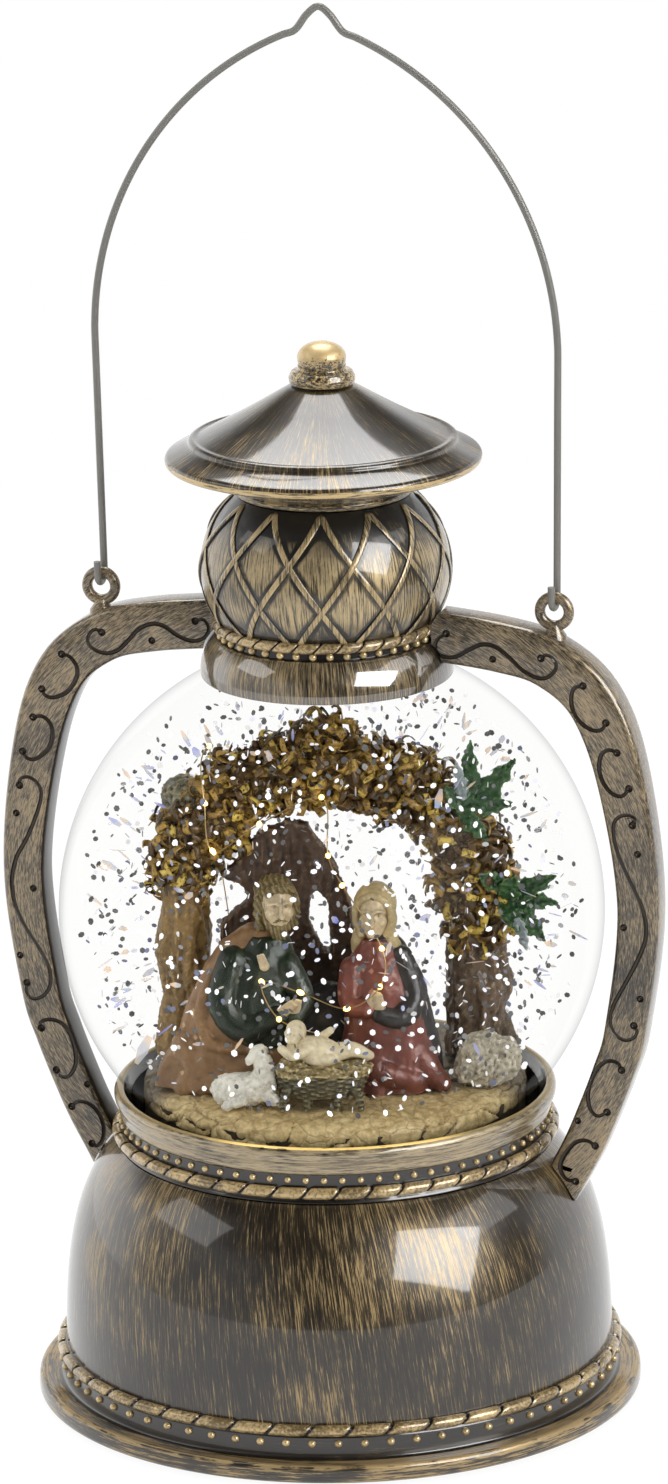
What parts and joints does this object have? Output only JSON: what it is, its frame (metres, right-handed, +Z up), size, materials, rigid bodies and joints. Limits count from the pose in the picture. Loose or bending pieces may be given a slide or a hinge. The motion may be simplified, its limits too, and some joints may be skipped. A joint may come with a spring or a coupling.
{
  "type": "led lantern",
  "caption": "Battery LED lantern: a clear water globe with a stable scene inside, on a bowl base, with a lattice chimney, cap, two side arms and a wire bail.",
  "frame": {"origin": "on the table, under the middle of the base", "axes": "+Z up, -Y is the front, and the two side arms lie in the XZ plane"},
  "size_m": [0.1258, 0.1126, 0.2612],
  "materials": {
    "antique_brass": "brown-black plastic brushed with gold under a clear gloss coat",
    "bright_brass": "gold-rubbed plastic under a clear gloss coat",
    "clear_glass": "clear polished",
    "steel_wire": "drawn grey wire",
    "plain_steel": "plated",
    "black_plastic": "fine moulded grain",
    "grey_rubber": "matt",
    "white_rubber": "matt",
    "cell_sleeve": "printed film, plain",
    "board_green": "solder mask",
    "magnet_grey": "sintered",
    "clear_plastic": "clear moulded",
    "painted_resin": "hand-painted resin",
    "moss": "dyed moss fibres",
    "leaf_green": "moulded leaves",
    "copper_wire": "enamelled wire with clear drops"
  },
  "bodies": {
    "lantern_body": {"base_shell": "antique_brass", "base_plate": "black_plastic", "foot_1": "grey_rubber", "foot_2": "grey_rubber", "foot_3": "grey_rubber", "foot_4": "grey_rubber", "case_screw_1": "plain_steel", "case_screw_2": "plain_steel", "case_screw_3": "plain_steel", "case_screw_4": "plain_steel", "cell_1": "cell_sleeve", "cell_2": "cell_sleeve", "cell_3": "cell_sleeve", "spring_terminal": "plain_steel", "link_strap_left": "plain_steel", "link_strap_right": "plain_steel", "button_terminal": "plain_steel", "switch_body": "plain_steel", "circuit_board": "board_green", "motor": "plain_steel", "motor_bracket": "black_plastic", "motor_lead": "grey_rubber", "light_lead": "grey_rubber", "stopper": "white_rubber", "impeller_grille": "black_plastic", "neck_gasket": "grey_rubber", "lower_collar": "bright_brass", "globe_glass": "clear_glass", "upper_collar": "antique_brass", "chimney": "antique_brass", "cap": "antique_brass", "finial": "bright_brass", "tie_screw": "plain_steel", "right_arm": "antique_brass", "left_arm": "antique_brass", "arm_screw_right": "plain_steel", "arm_screw_left": "plain_steel", "ground_disc": "painted_resin", "rock_pillar_left": "painted_resin", "rock_pillar_right": "painted_resin", "stable_wall": "painted_resin", "thatch_roof": "moss", "leaf_spray_top": "leaf_green", "leaf_spray_side": "leaf_green", "man_figure": "painted_resin", "woman_figure": "painted_resin", "manger": "painted_resin", "infant": "painted_resin", "lamb": "painted_resin", "pale_rock": "painted_resin", "light_string": "copper_wire"},
    "bail_body": {"bail": "steel_wire"},
    "door_body": {"battery_door": "black_plastic"},
    "slider_body": {"switch_slider": "black_plastic"},
    "rotor_body": {"motor_shaft": "plain_steel", "drive_rotor": "magnet_grey"},
    "impeller_body": {"impeller": "clear_plastic"}
  },
  "joints": [
    {"name": "bail_swing", "type": "hinge", "parent": "lantern_body", "child": "bail_body", "pos_m": [0, 0, 0.15429], "axis": [1, 0, 0], "range_deg": [-125, 145]},
    {"name": "door_hinge", "type": "hinge", "parent": "lantern_body", "child": "door_body", "pos_m": [0.02945, 0, 0.0018], "axis": [0, -1, 0], "range_deg": [0, 100]},
    {"name": "switch_slide", "type": "slide", "parent": "lantern_body", "child": "slider_body", "axis": [1, 0, 0], "range_m": [0, 0.004]},
    {"name": "motor_spin", "type": "hinge", "parent": "lantern_body", "child": "rotor_body", "pos_m": [0, 0, 0.04], "axis": [0, 0, 1], "continuous": true},
    {"name": "impeller_spin", "type": "hinge", "parent": "lantern_body", "child": "impeller_body", "pos_m": [0, 0, 0.054], "axis": [0, 0, 1], "continuous": true}
  ],
  "couplings": [
    {"joint": "impeller_spin", "follows": "motor_spin", "ratio": 1}
  ]
}
